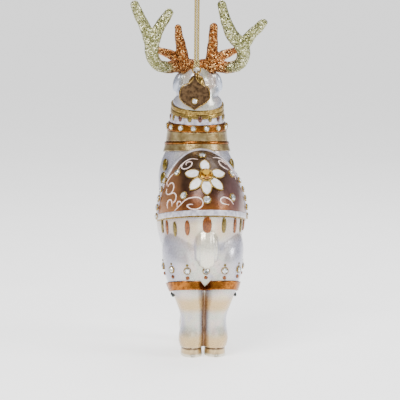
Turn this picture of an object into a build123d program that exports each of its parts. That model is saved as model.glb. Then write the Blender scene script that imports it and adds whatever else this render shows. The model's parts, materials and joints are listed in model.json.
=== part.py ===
from build123d import *
from math import cos, pi, radians, sin, sqrt, tan
import os

# A jewelled blown-glass reindeer ornament that hangs from a doubled cord, in millimetres.
# It is laid out standing: the soles at height 0, the nose towards +Y, the middle at X = 0.
# save() then shifts every piece so that the origin is where a hook holds the cord's loop.

# ---------------------------------------------------------------- the modelled animal
WALL = 1.0  # thickness of the blown glass round the barrel and neck
LEG_WALL = 1.4
SIDES = (-1, 1)

BARREL_CENTRE = (0.0, -3.0, 65.0)
BARREL = (21.2, 33.0, 31.0)  # half width, half length, half height

# A member is a list of stations: X, Y, Z, half width, half depth, forward tilt in degrees.
HAUNCH_CENTRE = (0.0, -17.0, 50.0)
HAUNCH = (19.6, 17.4, 20.6)
HIND_LEG = [
    (5.6, -21.6, 4.8, 5.3, 6.6, 0),
    (5.9, -22.4, 8.6, 6.0, 7.3, 0),
    (5.5, -22.6, 18.0, 5.4, 6.3, 0),
    (6.7, -23.6, 26.5, 6.7, 9.0, 4),
    (7.9, -20.6, 33.5, 8.6, 12.4, 8),
    (8.8, -18.2, 40.0, 9.6, 14.8, 4),
    (9.1, -15.6, 50.0, 10.3, 16.6, 0),
    (8.5, -11.0, 64.0, 9.8, 15.0, 0),
]
FRONT_LEG = [
    (4.0, 13.6, 4.8, 3.7, 4.8, 0),
    (4.2, 13.0, 8.6, 4.1, 5.2, 0),
    (3.9, 12.6, 17.0, 3.7, 4.2, 0),
    (4.4, 13.4, 26.0, 4.4, 5.2, 0),
    (5.6, 12.4, 34.0, 5.6, 7.2, 0),
    (6.6, 11.0, 44.0, 7.2, 9.8, 0),
    (6.8, 9.0, 60.0, 9.0, 13.0, 0),
]
NECK = [
    (0.0, 13.0, 72.0, 18.6, 16.0, 14),
    (0.0, 14.6, 82.0, 18.9, 16.8, 12),
    (0.0, 15.8, 89.0, 17.5, 16.8, 10),
    (0.0, 16.3, 93.5, 15.6, 16.4, 8),
    (0.0, 16.6, 99.0, 14.4, 15.4, 5),
    (0.0, 16.2, 106.0, 13.5, 14.4, 0),
    (0.0, 15.2, 113.0, 12.1, 12.8, -8),
    (0.0, 14.4, 119.0, 11.9, 12.2, -10),
    (0.0, 15.4, 126.0, 9.8, 10.6, -4),
]
MUZZLE = [
    (0.0, 21.0, 128.0, 8.0, 8.6),
    (0.0, 29.0, 124.6, 6.6, 7.0),
    (0.0, 36.0, 121.6, 4.9, 5.0),
    (0.0, 41.0, 119.6, 4.6, 4.3),
]
NOSE_DEPTH = 3.6
CRANIUM_CENTRE = (0.0, 19.5, 127.5)
CRANIUM = (9.4, 11.0, 9.6)
TAIL_CENTRE = (0.0, -34.4, 53.5)
TAIL = (5.9, 4.8, 9.9)
EAR_CENTRE = (9.6, 14.5, 127.4)
EAR = (2.5, 3.0, 5.4)
EYE_CENTRE = (6.9, 27.2, 129.6)
EYE = 1.4
NOSE_TIP = (0.0, 44.2, 120.9)
NOSE_TIP_SIZE = (2.6, 1.4, 1.8)

HOOF_HEIGHT = 4.8
HIND_HOOF = (5.6, -21.4, 5.2, 7.2)  # X, Y, half width, half depth
FRONT_HOOF = (4.0, 14.2, 3.8, 5.6)
HOOF_FLARE = 0.35

# Antler branches: X, Y, Z and radius at each point, drawn for the animal's right-hand side.
BEAM = [
    (2.4, 15.8, 135.4, 3.5),
    (8.6, 13.6, 135.8, 3.4),
    (15.2, 8.6, 135.2, 3.0),
    (20.6, 3.4, 137.0, 3.0),
    (23.4, 0.4, 142.0, 3.3),
    (23.8, -0.6, 149.0, 3.7),
]
LEFT_OUTER = [
    (23.8, -0.6, 147.5, 3.5),
    (27.0, -1.0, 155.0, 2.7),
    (30.0, -1.2, 161.0, 2.5),
    (32.0, -1.0, 165.8, 2.1),
]
LEFT_INNER = [
    (23.4, -0.6, 147.5, 3.3),
    (20.6, 0.0, 154.0, 2.9),
    (17.4, 0.6, 159.0, 2.6),
    (15.4, 1.0, 162.0, 2.1),
]
RIGHT_BEAM = BEAM[:3] + [(19.6, 4.0, 137.6, 3.0), (20.6, 0.6, 142.0, 3.3), (19.8, -0.4, 147.5, 3.6)]
RIGHT_OUTER = [
    (20.0, -0.4, 146.5, 3.4),
    (24.0, -0.8, 151.4, 2.7),
    (27.6, -0.8, 155.0, 2.4),
    (30.2, -0.6, 157.4, 2.0),
]
RIGHT_INNER = [
    (19.4, -0.4, 146.5, 3.5),
    (14.2, 0.0, 152.6, 3.1),
    (11.4, 0.4, 160.0, 2.6),
    (9.9, 0.6, 165.9, 2.1),
]
UPRIGHT = [
    (7.2, 14.6, 134.6, 3.4),
    (8.0, 14.0, 143.0, 2.9),
    (9.3, 13.4, 149.6, 2.2),
    (9.9, 13.0, 154.0, 1.8),
]
RIGHT_UPRIGHT = [
    (6.6, 14.8, 134.6, 3.4),
    (7.0, 14.4, 143.0, 2.9),
    (7.3, 13.8, 150.0, 2.4),
    (7.4, 13.4, 154.6, 2.1),
]
BROW = [
    (8.4, 14.4, 138.0, 2.7),
    (13.4, 16.6, 141.0, 2.4),
    (18.4, 19.4, 142.6, 1.8),
    (21.4, 21.2, 144.6, 1.5),
]

# ---------------------------------------------------------------- the hanger
CORD = 1.2  # diameter of the cord
CORD_GAP = 1.36  # between the two strands' centre lines
HANGER_X = -2.2
HANGER_Y = -1.5
RING = 1.9  # radius of the jump ring's centre line
RING_WIRE = 0.4
RING_Z = 134.8
LOOP_TOP = 181.5  # centre line of the cord at the top of its loop
LOOP_HALF = 3.5
LOOP_SHOULDER = 176.5
LOOP_NECK = 171.0
HITCH = (1.45, 1.3, 1.25)
BESIDE = 0.8  # how far the cap's loop and the tag's bail sit from the ring's lowest point
LINK_GAP = 0.12
RING_LOW = RING_Z - RING + (RING - sqrt(RING**2 - BESIDE**2))  # the ring's wire, where both hang
EYE_INNER = 1.1
EYE_WIRE = 0.4
CAP_RISE = 35.0  # the cap's axis above level, pointing back and up
EYE_REACH = 4.2
CAP_HEIGHT = 4.6
CAP_RADIUS = 4.0
CAP_CROWN = 3.5
CAP_SHEET = 0.4
CAP_FLUTES = 18
STEM_RADIUS = 2.9
STEM_BORE = 1.9
PRONG = 2.6

TAG_HALF = 7.6
TAG_TOP = 131.6
TAG_POINT = 115.4
TAG_WIDEST = 123.4
TAG_THICK = 1.2
TAG_RIM = 0.7
TAG_RECESS = 0.3
BAIL_INNER = 0.85
BAIL_WIRE = 0.35
TAG_GEM_Z = 119.7
TAG_GEM = 1.3
STAR_Z = 124.4
STAR_RAY = 2.6
STAR_WIDTH = 0.45

# ---------------------------------------------------------------- applied decoration
# Neck bands: name, lower height, its tilt, upper height, its tilt, thickness.
NECK_BANDS = [
    ("neck_base_band", 93.4, 8, 97.0, 7, 1.0),
    ("neck_copper_line", 97.0, 7, 98.4, 6, 1.3),
    ("neck_satin_band", 98.4, 6, 104.0, 1, 0.7),
    ("collar_copper_band", 104.0, 1, 108.2, -2, 0.9),
    ("collar_enamel_band", 108.2, -2, 112.9, -9, 0.5),
    ("collar_lower_rim", 112.9, -9, 115.3, -11, 1.1),
    ("collar_upper_rim", 115.3, -11, 117.7, -12, 1.1),
]
NECK_AXIS_Y = 16.0
COLLAR_STONES = 14
COLLAR_STONE = 1.25
COLLAR_STONE_Z = 106.1
COLLAR_DROPS = 16
COLLAR_DROP_Z = 110.6
COLLAR_DROP = (1.1, 0.55, 1.6)

BLANKET = 0.6
BORDER = 1.1
BORDER_WIDTH = 2.6
PIPING = 0.7
HEM_REAR_Z = 69.4
HEM_SIDE_Z = 63.4
BLANKET_FRONT_Y = -9.5
BLANKET_SHOULDER_Z = 78.0
ARCH_APEX = (-0.4, 98.0)
BLANKET_NECK_GAP = 1.1  # the blanket stops this far from the neck, clear of its lowest band

FLOWER_RISE = 43.5  # angle up the croup, from level at the rear
FLOWER_RADIUS = 10.3
PETAL_TURNS = (90, 160, 220, 270, 320, 20)
PETAL_MIDDLE = 6.4
PETAL_LENGTH = 7.8
PETAL_WIDTH = 4.5
PETAL_RIM = 0.45
AMBER = 3.0
# Stones on the blanket: X, angle up the croup, radius.
BLANKET_STONES = [
    (-0.4, 70.0, 1.7),
    (-11.8, 58.0, 1.6),
    (12.6, 58.0, 1.6),
    (-10.0, 27.5, 1.6),
    (12.1, 26.5, 1.6),
    (0.0, 21.5, 1.7),
]
# Fringe drops: X, angle up the croup at the drop's middle, is it copper.
FRINGE = [
    (-9.1, -4.0, True),
    (-14.4, -8.5, False),
    (-17.6, -12.0, True),
    (-19.4, -16.0, False),
    (8.3, -1.5, False),
    (14.2, -4.5, True),
    (17.6, -8.0, False),
    (19.6, -12.0, True),
]
FRINGE_DROP = (1.35, 3.7, 0.6)
CENTRE_DROP = (2.2, 4.4, 0.8)
TRIM_STONES = 5
TRIM_STONE = 1.3
TRIM_PITCH = 4.2
TRIM_FOOT_Z = 65.4
TRIM_Y = -10.8
SHOULDER_DROP = (1.9, 3.1, 0.9)
SHOULDER_PLACES = [(16.4, 7.0, 88.0), (17.6, 2.4, 82.0)]

HEM_STONE_Z = 42.6
HEM_STONE = 1.45
# Turns round one thigh's section for the stones, bead and dot rows, from straight back.
HEM_TURNS = (0, 44, 88)
HEM_BEAD_RISE = 2.6
HEM_BEAD = 0.75
HEM_DOT_DROP = 3.4
HEM_DOT = 0.95

GARTER_TILT = 13.4
GARTER_MIDDLE = (-20.5, 32.7)  # Y and Z
GARTER_HALF = 2.1
GARTER = 1.0
FRONT_GARTER_MIDDLE = (12.8, 31.0)
FRONT_GARTER_HALF = 1.7
GARTER_BEAD = 0.9
GARTER_BEAD_Z = 29.6
GARTER_BEAD_TURNS = (76, 96)


# ---------------------------------------------------------------- helpers
def save(piece, name):
    to_hook = Location((-HANGER_X, -HANGER_Y, CORD / 2 - LOOP_TOP))
    placed = piece.part.moved(to_hook)
    placed.label = name
    export_step(placed, "parts/" + name + ".step")


def grown(sizes, grow):
    return tuple(size + grow for size in sizes)


def mirrored(stations, side):
    return [(side * x, *rest) for x, *rest in stations]


def ball(centre, radii, tilt=(0, 0, 0), mode=Mode.ADD):
    """An ellipsoid with the given half sizes."""
    unit = Sphere(1, mode=Mode.PRIVATE)
    shape = scale(unit, by=radii, mode=Mode.PRIVATE)
    add(Location(centre, tilt) * shape, mode=mode)


def level(y, z, tilt):
    """A plane across the animal, tilted forwards about X."""
    upward = (0, sin(radians(tilt)), cos(radians(tilt)))
    return Plane(origin=(0, y, z), x_dir=(1, 0, 0), z_dir=upward)


def member(stations, grow=0.0, mode=Mode.ADD):
    """A limb lofted through level ellipses."""
    sections = []
    for x, y, z, half_width, half_depth, tilt in stations:
        place = level(y, z, tilt)
        place.origin = (x, y, z)
        with BuildSketch(place) as section:
            Ellipse(half_width + grow, half_depth + grow)
        sections.append(section.sketch)
    loft(sections, mode=mode)


def slab(low, high):
    """Keeps only what lies between two planes."""
    split(bisect_by=low, keep=Keep.TOP)
    split(bisect_by=high, keep=Keep.BOTTOM)


def facing(origin, outward):
    """A plane on a surface, its x direction as level as it can be."""
    outward = Vector(*outward).normalized()
    across = Vector(0, 0, 1).cross(outward)
    return Plane(origin=origin, x_dir=across, z_dir=outward)


def on_barrel(x, rise, lift=0.0):
    """The plane on the barrel at X and an angle up the croup, lifted off the glass."""
    cx, cy, cz = BARREL_CENTRE
    a, b, c = BARREL
    reach = sqrt(1 - (x / a) ** 2)
    y = -b * reach * cos(radians(rise))
    z = c * reach * sin(radians(rise))
    place = facing((x, cy + y, cz + z), (x / a**2, y / b**2, z / c**2))
    return place.offset(lift)


def on_ring(centre, half_width, half_depth, turn, lift=0.0):
    """The plane on a level ellipse, turned from straight back towards +X."""
    x = half_width * sin(radians(turn))
    y = -half_depth * cos(radians(turn))
    cx, cy, cz = centre
    place = facing((cx + x, cy + y, cz), (x / half_width**2, y / half_depth**2, 0))
    return place.offset(lift)


def section_at(stations, z):
    """A member's centre and half sizes at a height, between its stations."""
    for below, above in zip(stations, stations[1:]):
        if below[2] <= z <= above[2]:
            share = (z - below[2]) / (above[2] - below[2])
            x, y, _, half_width, half_depth, _ = [p + share * (q - p) for p, q in zip(below, above)]
            return (x, y, z), half_width, half_depth
    raise ValueError("no section at that height")


def gem(place, radius, lift=0.06):
    """A flat-backed faceted stone on a plane."""
    sections = []
    for height, size in ((0.0, 0.9), (0.3, 1.0), (0.78, 0.6)):
        with BuildSketch(place.offset(lift + height * radius)) as section:
            RegularPolygon(size * radius, 8)
        sections.append(section.sketch)
    loft(sections[:2], ruled=True)
    loft(sections[1:], ruled=True)


def setting(place, radius, sink=0.35):
    """The metal cup round a stone, sunk into what it stands on."""
    with BuildSketch(place.offset(-sink)) as ring:
        Circle(radius + 0.32)
        Circle(radius + 0.01, mode=Mode.SUBTRACT)
    extrude(ring.sketch, amount=sink + 0.06 + 0.42 * radius)


def drop(place, sizes, spin=0.0):
    """A pillow of enamel or glitter lying on a plane, its long side up the surface."""
    width, height, thickness = sizes
    unit = Sphere(1, mode=Mode.PRIVATE)
    shape = scale(unit, by=(width, height, thickness), mode=Mode.PRIVATE)
    add(place.location * Rotation(0, 0, spin) * shape)


# ---------------------------------------------------------------- glass
def snout():
    """The muzzle, lofted forwards through upright ellipses."""
    sections = []
    for x, y, z, half_width, half_height in MUZZLE:
        with BuildSketch(Plane(origin=(x, y, z), x_dir=(1, 0, 0), z_dir=(0, 1, 0))) as section:
            Ellipse(half_width, half_height)
        sections.append(section.sketch)
    loft(sections)
    x, y, z, half_width, half_height = MUZZLE[-1]
    ball((x, y, z), (half_width, NOSE_DEPTH, half_height))


def animal():
    """The body, haunch, neck, head and legs."""
    ball(BARREL_CENTRE, BARREL)
    ball(HAUNCH_CENTRE, HAUNCH)
    for side in SIDES:
        member(mirrored(HIND_LEG, side))
        member(mirrored(FRONT_LEG, side))
    member(NECK)
    ball(CRANIUM_CENTRE, CRANIUM)
    snout()


def hollow():
    """The air inside the barrel, the neck and the hind legs."""
    ball(BARREL_CENTRE, grown(BARREL, -WALL))
    member(NECK, -WALL)
    for side in SIDES:
        member(mirrored(HIND_LEG, side), -LEG_WALL)


def cap_axis():
    """The plane at the cap's mouth, looking out along its axis."""
    outward = Vector(0, -cos(radians(CAP_RISE)), sin(radians(CAP_RISE)))
    eye = Vector(HANGER_X + BESIDE, HANGER_Y, RING_LOW - EYE_INNER + RING_WIRE + LINK_GAP)
    return Plane(origin=eye - outward * (EYE_REACH + CAP_HEIGHT), x_dir=(1, 0, 0), z_dir=outward)


def glass_body():
    with BuildPart() as cavity:
        hollow()
    with BuildPart() as body:
        animal()
        ball(TAIL_CENTRE, TAIL, (-8, 0, 0))
        for side in SIDES:
            x, y, z = EAR_CENTRE
            ball((side * x, y, z), EAR, (12, side * -14, 0))
        add(cavity.part, mode=Mode.SUBTRACT)
        mouth = cap_axis()
        with BuildSketch(mouth.offset(-3.0)) as stem:
            Circle(STEM_RADIUS)
        extrude(stem.sketch, amount=3.0 + CAP_HEIGHT - 1.2)
        with BuildSketch(mouth.offset(-6.0)) as bore:
            Circle(STEM_BORE)
        extrude(bore.sketch, amount=6.0 + CAP_HEIGHT, mode=Mode.SUBTRACT)
    return body


def hooves():
    with BuildPart() as shoes:
        for x, y, half_width, half_depth in (HIND_HOOF, FRONT_HOOF):
            for side in SIDES:
                with BuildSketch(Plane.XY) as sole:
                    with Locations((side * x, y)):
                        Ellipse(half_width, half_depth)
                with BuildSketch(Plane.XY.offset(HOOF_HEIGHT)) as top:
                    with Locations((side * x, y)):
                        Ellipse(half_width - HOOF_FLARE, half_depth - HOOF_FLARE)
                loft([sole.sketch, top.sketch])
    return shoes


def eyes():
    with BuildPart() as pair:
        for side in SIDES:
            x, y, z = EYE_CENTRE
            ball((side * x, y, z), (EYE, EYE, EYE))
    return pair


def nose():
    with BuildPart() as tip:
        ball(NOSE_TIP, NOSE_TIP_SIZE)
    return tip


# ---------------------------------------------------------------- antlers
def branch(points):
    """A tapering round branch with a rounded tip."""
    places = [Vector(x, y, z) for x, y, z, radius in points]
    last = len(points) - 1
    sections = []
    for index, place in enumerate(places):
        along = places[min(index + 1, last)] - places[max(index - 1, 0)]
        level_across = along.cross(Vector(0, 1, 0))
        with BuildSketch(Plane(origin=place, x_dir=level_across, z_dir=along)) as section:
            Circle(points[index][3])
        sections.append(section.sketch)
    loft(sections)
    tip = points[last][3] * 1.03
    ball(places[last], (tip, tip, tip))


def antler(branches, side):
    """One antler, drawn on the right and mirrored when it belongs on the left."""
    with BuildPart() as horn:
        for points in branches:
            branch(points)
        if side < 0:
            mirror(about=Plane.YZ, mode=Mode.REPLACE)
    return horn


# ---------------------------------------------------------------- hanger, cap and tag
def cord_route():
    """Up the left strand, round the loop that a hook holds, and down the right strand."""
    half = CORD_GAP / 2
    foot = RING_Z + RING + 0.5
    left = [(-half, foot), (-half, LOOP_NECK), (-LOOP_HALF, LOOP_SHOULDER), (-LOOP_HALF, LOOP_TOP)]
    right = [(-x, z) for x, z in reversed(left)]
    return [(HANGER_X + x, HANGER_Y, z) for x, z in left + right]


def cord_loop():
    route = [Vector(*point) for point in cord_route()]
    radii = []
    for before, corner, after in zip(route, route[1:], route[2:]):
        turn = radians((corner - before).get_angle(after - corner))
        shorter = min((corner - before).length, (after - corner).length)
        radii.append(0.45 * shorter / tan(turn / 2))
    print("cord radii", [round(radius, 1) for radius in radii])
    with BuildPart() as tube:
        with BuildLine() as path:
            FilletPolyline(*route, radius=radii)
        with BuildSketch(Plane(origin=path.line @ 0, z_dir=path.line % 0)) as section:
            Circle(CORD / 2)
        sweep(section.sketch, path=path.line)
    length = sum(edge.length for edge in path.edges())
    print("cord length", round(length, 1), "volume", round(tube.part.volume, 2))
    print("section times length", round(pi * CORD**2 / 4 * length, 2))
    return tube


def ring_torus(grow=0.0, mode=Mode.ADD):
    with Locations(Plane(origin=(HANGER_X, HANGER_Y, RING_Z), z_dir=(0, 1, 0))):
        Torus(RING, RING_WIRE + grow, mode=mode)


def cord_hitch():
    with BuildPart() as knot:
        ball((HANGER_X, HANGER_Y, RING_Z + RING), HITCH)
        ring_torus(mode=Mode.SUBTRACT)
    return knot


def jump_ring():
    with BuildPart() as ring:
        ring_torus()
    return ring


def ornament_cap():
    mouth = cap_axis()
    with BuildPart() as cap:
        with BuildSketch(Plane.XZ) as profile:
            with BuildLine():
                Polyline((0, CAP_HEIGHT), (1.4, CAP_HEIGHT))
                ThreePointArc((1.4, CAP_HEIGHT), (2.9, CAP_HEIGHT - 0.7), (CAP_CROWN, CAP_HEIGHT - 2.0))
                Polyline(
                    (CAP_CROWN, CAP_HEIGHT - 2.0),
                    (CAP_CROWN, 1.2),
                    (CAP_RADIUS, 0.8),
                    (CAP_RADIUS, 0),
                    (CAP_CROWN - CAP_SHEET, 0),
                    (CAP_CROWN - CAP_SHEET, CAP_HEIGHT - 1.2),
                    (0, CAP_HEIGHT - 1.2),
                    (0, CAP_HEIGHT),
                )
            make_face()
        revolve(profile.sketch, axis=Axis.Z)
        with PolarLocations(CAP_RADIUS + 0.12, CAP_FLUTES):
            Cylinder(0.3, 1.7, align=(Align.CENTER, Align.CENTER, Align.MIN), mode=Mode.SUBTRACT)
    with BuildPart() as placed:
        add(mouth.location * cap.part)
    return placed


def cap_wire():
    """The sprung wire: an eye outside the cap and two prongs that spread in the stem."""
    mouth = cap_axis()
    eye = mouth.origin + mouth.z_dir * (EYE_REACH + CAP_HEIGHT)
    bend = EYE_INNER + EYE_WIRE
    side = mouth.y_dir
    foot = mouth.z_dir * -(EYE_REACH + CAP_HEIGHT + 2.4)
    top_left = eye + side * bend
    top_right = eye - side * bend
    with BuildPart() as wire:
        with BuildLine() as path:
            Line(eye + foot + side * (bend - 0.1), top_left)
            ThreePointArc(top_left, eye + mouth.z_dir * bend, top_right)
            Line(top_right, eye + foot - side * (bend - 0.1))
        with BuildSketch(Plane(origin=path.line @ 0, z_dir=path.line % 0)) as section:
            Circle(EYE_WIRE)
        sweep(section.sketch, path=path.line)
    return wire


def tag_outline(inset):
    """An onion shape with a short neck and a pointed foot; X across, Y up."""
    half = TAG_HALF - inset
    neck = 0.7 - 0.3 * inset
    top = TAG_TOP - inset
    point = TAG_POINT + 1.4 * inset
    shoulder = (0.86 * half, TAG_WIDEST + 3.2 - 0.4 * inset)
    flank = (0.8 * half, TAG_WIDEST - 3.6 + 0.4 * inset)
    with BuildSketch(Plane.XY) as outline:
        with BuildLine():
            Line((0, top), (neck, top))
            ThreePointArc((neck, top), (0.34 * half, TAG_WIDEST + 4.8 - 0.7 * inset), shoulder)
            ThreePointArc(shoulder, (half, TAG_WIDEST), flank)
            ThreePointArc(flank, (0.3 * half, point + 1.6), (0, point))
            Line((0, point), (0, top))
        make_face()
        mirror(about=Plane.YZ)
    return outline.sketch


def tag_face(depth):
    """A plane facing back from the tag's middle plane, X as seen from the front."""
    y = HANGER_Y - depth
    return Plane(origin=(HANGER_X - BESIDE, y, 0), x_dir=(1, 0, 0), z_dir=(0, -1, 0))


def hang_tag():
    plate = tag_outline(0.0)
    field = tag_outline(TAG_RIM)
    star = tag_face(TAG_THICK / 2 - TAG_RECESS).location * Location((0, STAR_Z, 0))
    bail_z = RING_LOW - BAIL_INNER + RING_WIRE + LINK_GAP
    with BuildPart() as tag:
        extrude(tag_face(-TAG_THICK / 2).location * plate, amount=TAG_THICK)
        extrude(
            tag_face(TAG_THICK / 2 - TAG_RECESS).location * field,
            amount=TAG_RECESS,
            mode=Mode.SUBTRACT,
        )
        for turn in (0, 60, 120):
            ray = Box(2 * STAR_RAY, STAR_WIDTH, TAG_RECESS, mode=Mode.PRIVATE)
            add(star * Rotation(0, 0, turn) * ray)
        with Locations(Plane(origin=(HANGER_X - BESIDE, HANGER_Y, bail_z), z_dir=(1, 0, 0))):
            Torus(BAIL_INNER + BAIL_WIRE, BAIL_WIRE)
    return tag


def tag_gem_place():
    origin = (HANGER_X - BESIDE, HANGER_Y - TAG_THICK / 2 + TAG_RECESS, TAG_GEM_Z)
    return facing(origin, (0, -1, 0))


def tag_gem():
    with BuildPart() as stone:
        gem(tag_gem_place(), TAG_GEM)
    return stone


def tag_setting():
    with BuildPart() as cup:
        setting(tag_gem_place(), TAG_GEM, sink=0.2)
    return cup


# ---------------------------------------------------------------- neck and collar
def neck_band(low, low_tilt, high, high_tilt, thickness):
    """A raised belt round the neck between two tilted levels."""
    with BuildPart() as belt:
        member(NECK, thickness)
        slab(level(NECK_AXIS_Y, low, low_tilt), level(NECK_AXIS_Y, high, high_tilt))
        member(NECK, mode=Mode.SUBTRACT)
    return belt


def collar_places(count, z, lift, start=0.0):
    centre, half_width, half_depth = section_at(NECK, z)
    turns = [start + 360.0 * index / count for index in range(count)]
    return [on_ring(centre, half_width, half_depth, turn, lift) for turn in turns]


def collar_stones(shape):
    half_step = 180.0 / COLLAR_STONES
    with BuildPart() as row:
        for place in collar_places(COLLAR_STONES, COLLAR_STONE_Z, 0.9, half_step):
            shape(place, COLLAR_STONE)
    return row


def collar_drops(first):
    """Every other enamel lozenge of the collar, starting with the first or the second."""
    with BuildPart() as row:
        for place in collar_places(COLLAR_DROPS, COLLAR_DROP_Z, 0.5)[first::2]:
            x, y, z = COLLAR_DROP
            drop(place, (x, z, y))
    return row


# ---------------------------------------------------------------- blanket
def blanket_outline(inset):
    """The blanket seen from the side: hem, flank edge and the arch over the withers."""
    far = 60.0
    with BuildSketch(Plane.YZ) as outline:
        with BuildLine():
            Polyline(
                (-far, HEM_REAR_Z + 3.0),
                (-36.0, HEM_REAR_Z),
                (BLANKET_FRONT_Y, HEM_SIDE_Z),
                (BLANKET_FRONT_Y, BLANKET_SHOULDER_Z),
            )
            ThreePointArc((BLANKET_FRONT_Y, BLANKET_SHOULDER_Z), (-6.6, 89.4), ARCH_APEX)
            Polyline(ARCH_APEX, (ARCH_APEX[0], 2 * far), (-far, 2 * far), (-far, HEM_REAR_Z + 3.0))
        make_face()
        if inset:
            offset(amount=-inset, kind=Kind.INTERSECTION)
    return outline.sketch


def blanket_layer(thickness, outer_inset, inner_inset=None):
    """A sheet that follows the barrel, inside the outline or only along its edge."""
    with BuildPart() as layer:
        ball(BARREL_CENTRE, grown(BARREL, thickness))
        extrude(blanket_outline(outer_inset), amount=30, both=True, mode=Mode.INTERSECT)
        if inner_inset is not None:
            extrude(blanket_outline(inner_inset), amount=30, both=True, mode=Mode.SUBTRACT)
        ball(BARREL_CENTRE, BARREL, mode=Mode.SUBTRACT)
        member(NECK, BLANKET_NECK_GAP, mode=Mode.SUBTRACT)
    return layer


def flower_frame():
    return on_barrel(0.0, FLOWER_RISE, BLANKET)


def petal_place(turn):
    """Where a petal's middle lies on the curved croup, its length pointing outwards."""
    frame = flower_frame()
    reach = PETAL_MIDDLE
    step = frame.x_dir * (reach * cos(radians(turn))) + frame.y_dir * (reach * sin(radians(turn)))
    cx, cy, cz = BARREL_CENTRE
    a, b, c = grown(BARREL, BLANKET)
    out = frame.origin + step - Vector(cx, cy, cz)
    size = sqrt((out.X / a) ** 2 + (out.Y / b) ** 2 + (out.Z / c) ** 2)
    foot = out * (1 / size)
    normal = Vector(foot.X / a**2, foot.Y / b**2, foot.Z / c**2).normalized()
    along = (step - normal * step.dot(normal)).normalized()
    return Plane(origin=foot + Vector(cx, cy, cz), x_dir=along, z_dir=normal)


def petal(grow, low, high):
    """One leaf-shaped petal lying along its place's x direction, as a private solid."""
    with BuildPart() as leaf:
        with BuildSketch(Plane.XY.offset(low)):
            with BuildLine():
                tip = PETAL_LENGTH / 2 + grow
                half = PETAL_WIDTH / 2 + grow
                ThreePointArc((-tip, 0), (0, half), (tip, 0))
                ThreePointArc((tip, 0), (0, -half), (-tip, 0))
            make_face()
        extrude(amount=high - low)
    return leaf.part


def flower_casting():
    """The gold casting: a rimmed tray for each enamel petal and the cup for the amber stone."""
    tray = petal(PETAL_RIM, -0.5, 0.75)
    hollow = petal(0.0, 0.35, 2.0)
    with BuildPart() as casting:
        for turn in PETAL_TURNS:
            add(petal_place(turn).location * tray)
        for turn in PETAL_TURNS:
            add(petal_place(turn).location * hollow, mode=Mode.SUBTRACT)
        with BuildSketch(flower_frame().offset(-0.4)) as boss:
            Circle(AMBER + 0.6)
        extrude(boss.sketch, amount=2.0)
        with BuildSketch(flower_frame().offset(0.8)) as seat:
            Circle(AMBER + 0.02)
        extrude(seat.sketch, amount=2.0, mode=Mode.SUBTRACT)
    return casting


def flower_petals():
    """The white enamel that fills the casting's trays."""
    fill = petal(0.0, 0.35, 0.72)
    with BuildPart() as enamel:
        for turn in PETAL_TURNS:
            add(petal_place(turn).location * fill)
        with BuildSketch(flower_frame().offset(-0.4)) as boss:
            Circle(AMBER + 0.6)
        extrude(boss.sketch, amount=2.0, mode=Mode.SUBTRACT)
    return enamel


def flower_amber():
    with BuildPart() as stone:
        gem(flower_frame().offset(0.8), AMBER, lift=0.02)
    return stone


def blanket_stones(shape):
    with BuildPart() as stones:
        for x, rise, radius in BLANKET_STONES:
            shape(on_barrel(x, rise, BLANKET), radius)
    return stones


def flank_place(side, z):
    """A plane on the widest part of the flank, on the blanket's border."""
    cx, cy, cz = BARREL_CENTRE
    a, b, c = BARREL
    x = side * a * sqrt(1 - ((TRIM_Y - cy) / b) ** 2 - ((z - cz) / c) ** 2)
    outward = (x / a**2, (TRIM_Y - cy) / b**2, (z - cz) / c**2)
    return facing((x, TRIM_Y, z), outward).offset(BORDER - 0.15)


def trim_stones(shape):
    with BuildPart() as row:
        for side in SIDES:
            for index in range(TRIM_STONES):
                shape(flank_place(side, TRIM_FOOT_Z + index * TRIM_PITCH), TRIM_STONE)
    return row


def fringe(copper):
    with BuildPart() as drops:
        for x, rise, is_copper in FRINGE:
            if is_copper == copper:
                drop(on_barrel(x, rise), FRINGE_DROP)
        if copper:
            drop(on_barrel(0.0, -0.5), CENTRE_DROP)
    return drops


def shoulder_drops():
    with BuildPart() as drops:
        for side in SIDES:
            for x, y, z in SHOULDER_PLACES:
                centre, half_width, half_depth = section_at(NECK, z)
                outward = (side * x / half_width**2, (y - centre[1]) / half_depth**2, 0.01)
                drop(facing((side * x, y, z), outward), SHOULDER_DROP)
    return drops


# ---------------------------------------------------------------- hem and garters
def rump_place(z):
    """The plane on the middle of the haunch, facing straight back."""
    cx, cy, cz = HAUNCH_CENTRE
    _, b, c = HAUNCH
    rise = (z - cz) / c
    y = -b * sqrt(1 - rise**2)
    return facing((cx, cy + y, z), (0, y / b**2, rise / c))


def hem_row(shape, z, size):
    """One piece on the middle of the rump and the rest round both thighs."""
    (x, y, _), half_width, half_depth = section_at(HIND_LEG, z)
    with BuildPart() as row:
        shape(rump_place(z), size)
        for side in SIDES:
            for turn in HEM_TURNS:
                shape(on_ring((side * x, y, z), half_width, half_depth, side * turn), size)
    return row


def dome(place, radius):
    drop(place, (radius, radius, 0.8 * radius))


def garter(leg, middle, tilt, half):
    """A belt round both legs of a pair, following each leg's roundness."""
    y, z = middle
    belt_plane = level(y, z, tilt)
    with BuildPart() as cuff:
        member(leg, GARTER)
        slab(belt_plane.offset(-half), belt_plane.offset(half))
        for side in SIDES:
            member(mirrored(leg, side), mode=Mode.SUBTRACT)
        ball(BARREL_CENTRE, BARREL, mode=Mode.SUBTRACT)
        ball(HAUNCH_CENTRE, HAUNCH, mode=Mode.SUBTRACT)
    with BuildPart() as belt:
        add(cuff.part)
        add(mirror(cuff.part, about=Plane.YZ, mode=Mode.PRIVATE))
    return belt


def garter_beads():
    (x, y, z), half_width, half_depth = section_at(HIND_LEG, GARTER_BEAD_Z)
    with BuildPart() as beads:
        for side in SIDES:
            for turn in GARTER_BEAD_TURNS:
                place = on_ring((side * x, y, z), half_width, half_depth, side * turn, 0.3)
                dome(place, GARTER_BEAD)
    return beads


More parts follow.
